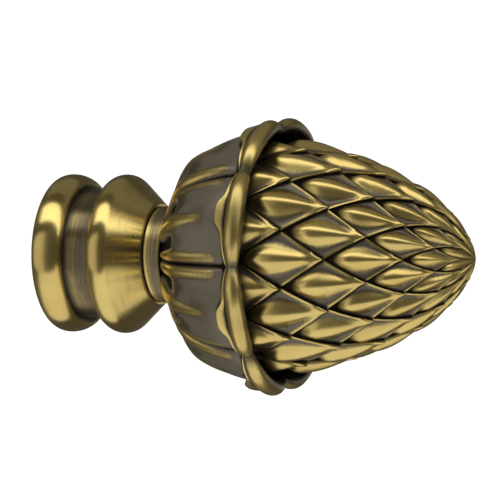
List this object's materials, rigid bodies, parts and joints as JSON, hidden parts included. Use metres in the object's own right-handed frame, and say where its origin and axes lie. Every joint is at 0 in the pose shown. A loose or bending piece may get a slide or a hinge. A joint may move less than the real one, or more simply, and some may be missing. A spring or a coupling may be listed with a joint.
{
  "type": "curtain pole finial",
  "caption": "Antique brass curtain pole finial: a beaded socket collar that slips over the pole end, and a scaled cone rising out of a calyx of petals with rolled lips.",
  "frame": {"origin": "centre of the socket's mouth, on the flat rim that the finial stands on", "axes": "+Z along the pole's axis, from the mouth to the tip of the cone; -Y faces the camera of the main view; the grub screw is on the +Y side"},
  "size_m": [0.062, 0.062, 0.0996],
  "materials": {
    "turned_brass": "turned, patinated and buffed antique brass, lacquered",
    "cast_brass": "cast, dark patina in the hollows, buffed on the crests, lacquered",
    "screw_steel": "plain steel"
  },
  "bodies": {
    "root": {"collar": "turned_brass", "cone_head": "cast_brass", "fixing_screw": "screw_steel", "grub_screw": "screw_steel"}
  },
  "joints": []
}
